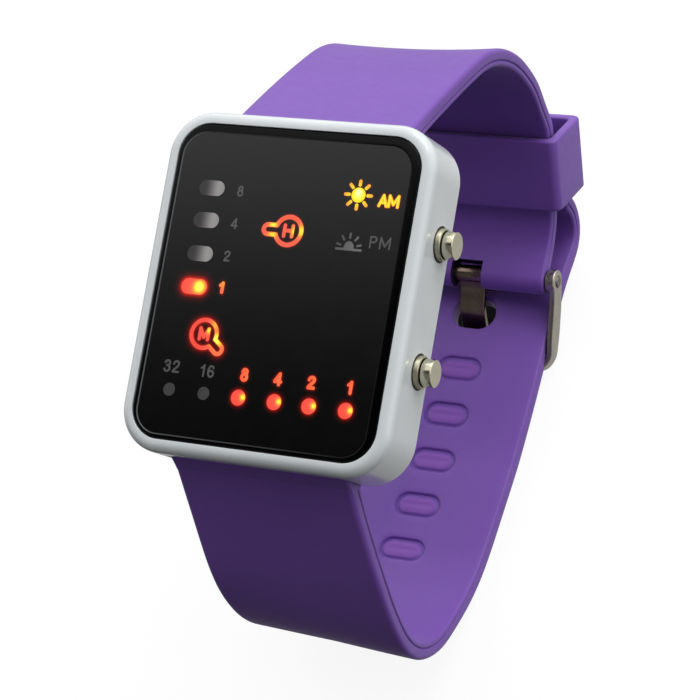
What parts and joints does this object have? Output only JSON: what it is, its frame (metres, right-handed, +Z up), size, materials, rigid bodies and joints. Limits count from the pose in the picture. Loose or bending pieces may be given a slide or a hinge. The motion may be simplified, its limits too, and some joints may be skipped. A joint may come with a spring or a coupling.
{
  "type": "binary wristwatch",
  "caption": "Rectangular wristwatch that shows the time with rows of lit windows, on a buckled silicone strap with a keeper loop and two side push buttons.",
  "frame": {"origin": "centre of the footprint on the surface that the closed watch stands on, at the lowest point of the strap loop", "axes": "+X towards 3 o'clock and the buttons, +Z up, +Y the long way through the loop from the 6 o'clock side to the buckle side; the display leans 21 degrees from +Z towards -Y"},
  "size_m": [0.0374, 0.079, 0.0631],
  "materials": {
    "case_white": "gloss",
    "window_black": "polished",
    "gasket_black": "matte",
    "legend_black": "matte",
    "hour_windows": "satin",
    "minute_windows": "satin",
    "digit_windows": "satin",
    "symbol_windows": "satin",
    "guide_white": "satin",
    "led_body": "satin",
    "board_green": "satin",
    "chip_black": "matte",
    "crystal_can": "satin",
    "battery_steel": "satin",
    "spring_steel": "bright",
    "holder_grey": "matte",
    "back_steel": "brushed",
    "screw_steel": "satin",
    "spring_bar_steel": "satin",
    "strap_silicone": "soft matte",
    "keeper_silicone": "soft matte",
    "buckle_steel": "satin",
    "pin_steel": "satin",
    "button_nickel": "satin"
  },
  "bodies": {
    "root": {"case_body": "case_white", "display_window": "window_black", "window_gasket": "gasket_black", "case_back_gasket": "gasket_black", "legend_plate": "legend_black", "hour_light_windows": "hour_windows", "minute_light_windows": "minute_windows", "digit_light_windows": "digit_windows", "symbol_light_windows": "symbol_windows", "light_guide": "guide_white", "leds": "led_body", "circuit_board": "board_green", "controller_chip": "chip_black", "quartz_crystal": "crystal_can", "battery": "battery_steel", "battery_clip": "spring_steel", "contact_springs": "spring_steel", "button_spring_upper": "spring_steel", "button_spring_lower": "spring_steel", "movement_holder": "holder_grey", "case_back": "back_steel", "case_back_screws": "screw_steel", "spring_bar_upper": "spring_bar_steel", "spring_bar_lower": "spring_bar_steel", "strap_upper": "strap_silicone", "strap_lower": "strap_silicone", "buckle_pin": "pin_steel", "button_collar_upper": "button_nickel", "button_collar_lower": "button_nickel"},
    "upper_button": {"button_cap_upper": "button_nickel", "button_seal_upper": "gasket_black", "button_clip_upper": "spring_steel"},
    "lower_button": {"button_cap_lower": "button_nickel", "button_seal_lower": "gasket_black", "button_clip_lower": "spring_steel"},
    "buckle": {"buckle_frame": "buckle_steel"},
    "tongue": {"buckle_tongue": "buckle_steel"},
    "keeper": {"keeper_loop": "keeper_silicone"}
  },
  "joints": [
    {"name": "button_upper_press", "type": "slide", "parent": "root", "child": "upper_button", "axis": [-1, 0, 0], "range_m": [0, 0.0008], "stiffness_N_per_m": 400, "springref_m": -0.0015, "deforming": ["button_spring_upper"]},
    {"name": "button_lower_press", "type": "slide", "parent": "root", "child": "lower_button", "axis": [-1, 0, 0], "range_m": [0, 0.0008], "stiffness_N_per_m": 400, "springref_m": -0.0015, "deforming": ["button_spring_lower"]},
    {"name": "buckle_hinge", "type": "hinge", "parent": "root", "child": "buckle", "pos_m": [-0.00108, 0.01948, 0.00864], "axis": [1, 0, 0], "range_deg": [0, 4]},
    {"name": "tongue_hinge", "type": "hinge", "parent": "buckle", "child": "tongue", "pos_m": [-0.00108, 0.01948, 0.00864], "axis": [1, 0, 0], "range_deg": [0, 3]},
    {"name": "keeper_slide", "type": "slide", "parent": "root", "child": "keeper", "axis": [0, -0.5299, -0.848], "range_m": [0, 0.001]}
  ]
}
